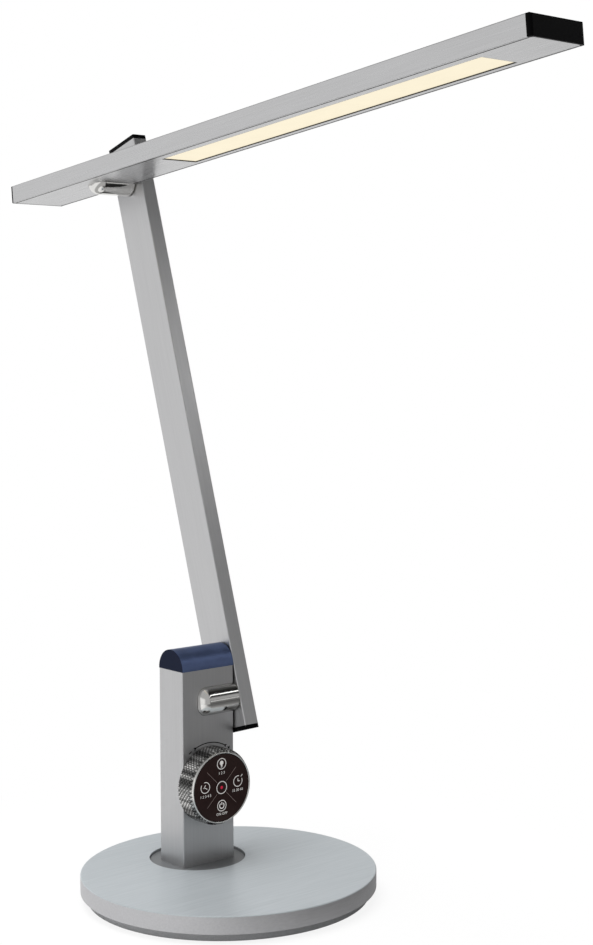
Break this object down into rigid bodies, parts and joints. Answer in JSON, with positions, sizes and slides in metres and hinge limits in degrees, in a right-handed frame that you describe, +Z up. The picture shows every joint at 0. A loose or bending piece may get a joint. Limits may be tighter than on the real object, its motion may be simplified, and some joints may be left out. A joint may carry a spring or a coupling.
{
  "type": "desk lamp",
  "caption": "LED desk lamp: weighted round base, swivelling square post with a touch dial and dimmer ring, tilting flat arm and a tilting bar-shaped light head.",
  "frame": {"origin": "centre of the base's underside, on the table", "axes": "+Z up, the dial faces -Y, the arm stands on the +X side of the post"},
  "size_m": [0.19, 0.4975, 0.5185],
  "materials": {
    "brushed_aluminium": "anodised, brushed along the length",
    "base_aluminium": "anodised, finely brushed",
    "pan_grey": "moulded, satin",
    "turntable_grey": "satin grey",
    "foot_rubber": "soft, matt",
    "ballast": "rough casting",
    "steel": "zinc plated",
    "chrome": "polished",
    "knurled_aluminium": "straight knurl",
    "navy_plastic": "polished navy blue",
    "black_plastic": "satin black",
    "black_glass": "black print behind the glass",
    "red_lens": "clear red",
    "circuit_board": "green solder mask",
    "components": "moulded black",
    "nylon": "natural nylon",
    "contact_brass": "bright",
    "lead_insulation": "red insulation",
    "magnet": "sintered ferrite",
    "cast_block": "die cast",
    "opal": "opal white, lit from behind",
    "white_board": "white solder mask",
    "light_chip": "phosphor under clear resin"
  },
  "bodies": {
    "base": {"base_shell": "base_aluminium", "base_weight": "ballast", "base_pan": "pan_grey", "foot_pad": "foot_rubber", "pan_screws": "steel", "driver_board": "circuit_board", "driver_parts": "components", "inlet_jack": "black_plastic", "inlet_contact": "contact_brass", "swivel_bush": "nylon", "swivel_washer": "nylon", "swivel_stop_pin": "steel", "base_leads": "lead_insulation"},
    "post": {"turntable": "turntable_grey", "swivel_spring": "steel", "swivel_nut": "steel", "post_tube": "brushed_aluminium", "post_cap": "navy_plastic", "post_screws": "steel", "dial_hub": "black_plastic", "hub_nut": "steel", "touch_board": "circuit_board", "touch_glass": "black_glass", "indicator_lens": "red_lens", "post_leads": "lead_insulation", "lower_barrel": "chrome", "lower_barrel_tip": "chrome", "lower_saddle": "cast_block", "lower_saddle_screws": "steel"},
    "dimmer": {"dimmer_ring": "knurled_aluminium", "dimmer_bezel": "chrome", "encoder_magnet": "magnet"},
    "arm": {"arm_tube": "brushed_aluminium", "arm_lower_cap": "black_plastic", "arm_upper_cap": "black_plastic", "arm_lead": "lead_insulation", "lower_hinge_block": "cast_block", "upper_hinge_block": "cast_block", "lower_hinge_pin": "steel", "lower_washer": "nylon", "lower_springs": "steel", "lower_lock_nut": "steel", "upper_hinge_pin": "steel", "upper_washer": "nylon", "upper_springs": "steel", "upper_lock_nut": "steel"},
    "head": {"upper_barrel": "chrome", "upper_barrel_tip": "chrome", "upper_saddle": "cast_block", "upper_saddle_screws": "steel", "head_housing": "brushed_aluminium", "head_bottom": "brushed_aluminium", "diffuser": "opal", "light_board": "white_board", "light_chips": "light_chip", "head_lead": "lead_insulation", "head_rear_cap": "black_plastic", "head_front_cap": "black_plastic"}
  },
  "joints": [
    {"name": "post_swivel", "type": "hinge", "parent": "base", "child": "post", "pos_m": [0, 0.034, 0], "axis": [0, 0, 1], "range_deg": [-90, 90]},
    {"name": "arm_tilt", "type": "hinge", "parent": "post", "child": "arm", "pos_m": [0, 0.0239, 0.1225], "axis": [-1, 0, 0], "range_deg": [-45, 45]},
    {"name": "head_tilt", "type": "hinge", "parent": "arm", "child": "head", "pos_m": [0, 0.13794, 0.46509], "axis": [-1, 0, 0], "range_deg": [-65, 80]},
    {"name": "dimmer_turn", "type": "hinge", "parent": "post", "child": "dimmer", "pos_m": [0, 0.0213, 0.068], "axis": [0, -1, 0], "continuous": true}
  ]
}
